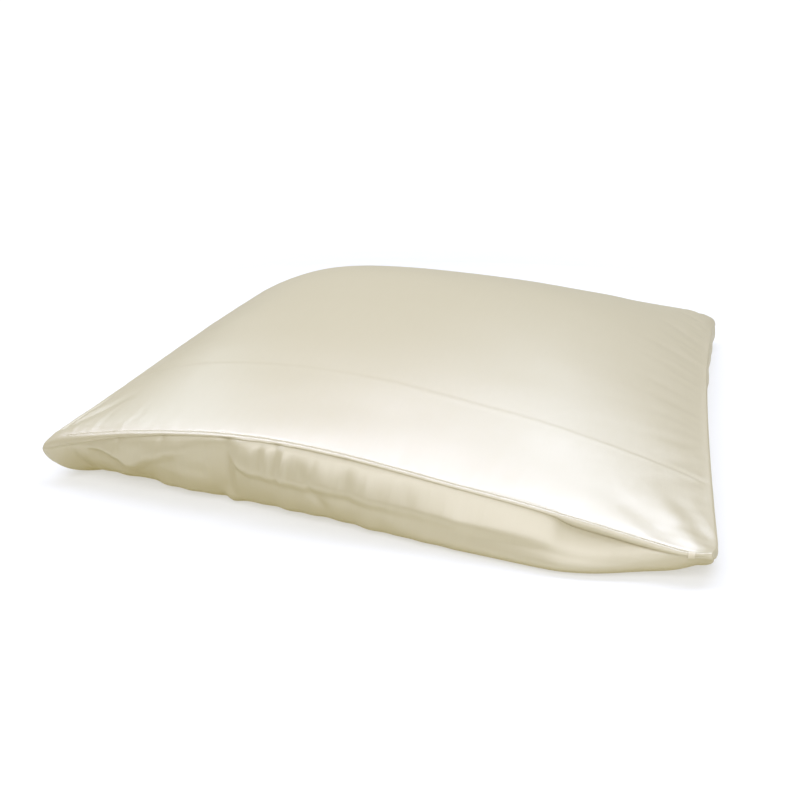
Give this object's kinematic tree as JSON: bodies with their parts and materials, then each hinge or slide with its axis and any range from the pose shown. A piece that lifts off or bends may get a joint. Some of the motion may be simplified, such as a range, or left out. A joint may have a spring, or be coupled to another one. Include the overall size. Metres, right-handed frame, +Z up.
{
  "type": "pillowcase",
  "caption": "Satin pillowcase filled by a bed pillow: soft crown, drawn-in sides, rounded corners and a hemmed mouth edge whose lip overhangs the wrapped end; lies flat on its back.",
  "frame": {"origin": "centre of the footprint's box, on the surface it lies on", "axes": "+Z up; +Y from the mouth edge to the closed end; +X to the right when facing the closed end, along the mouth edge"},
  "size_m": [0.499, 0.644, 0.1162],
  "materials": {
    "ivory_satin": "smooth satin, soft sheen"
  },
  "bodies": {
    "root": {"filled_case": "ivory_satin"}
  },
  "joints": []
}
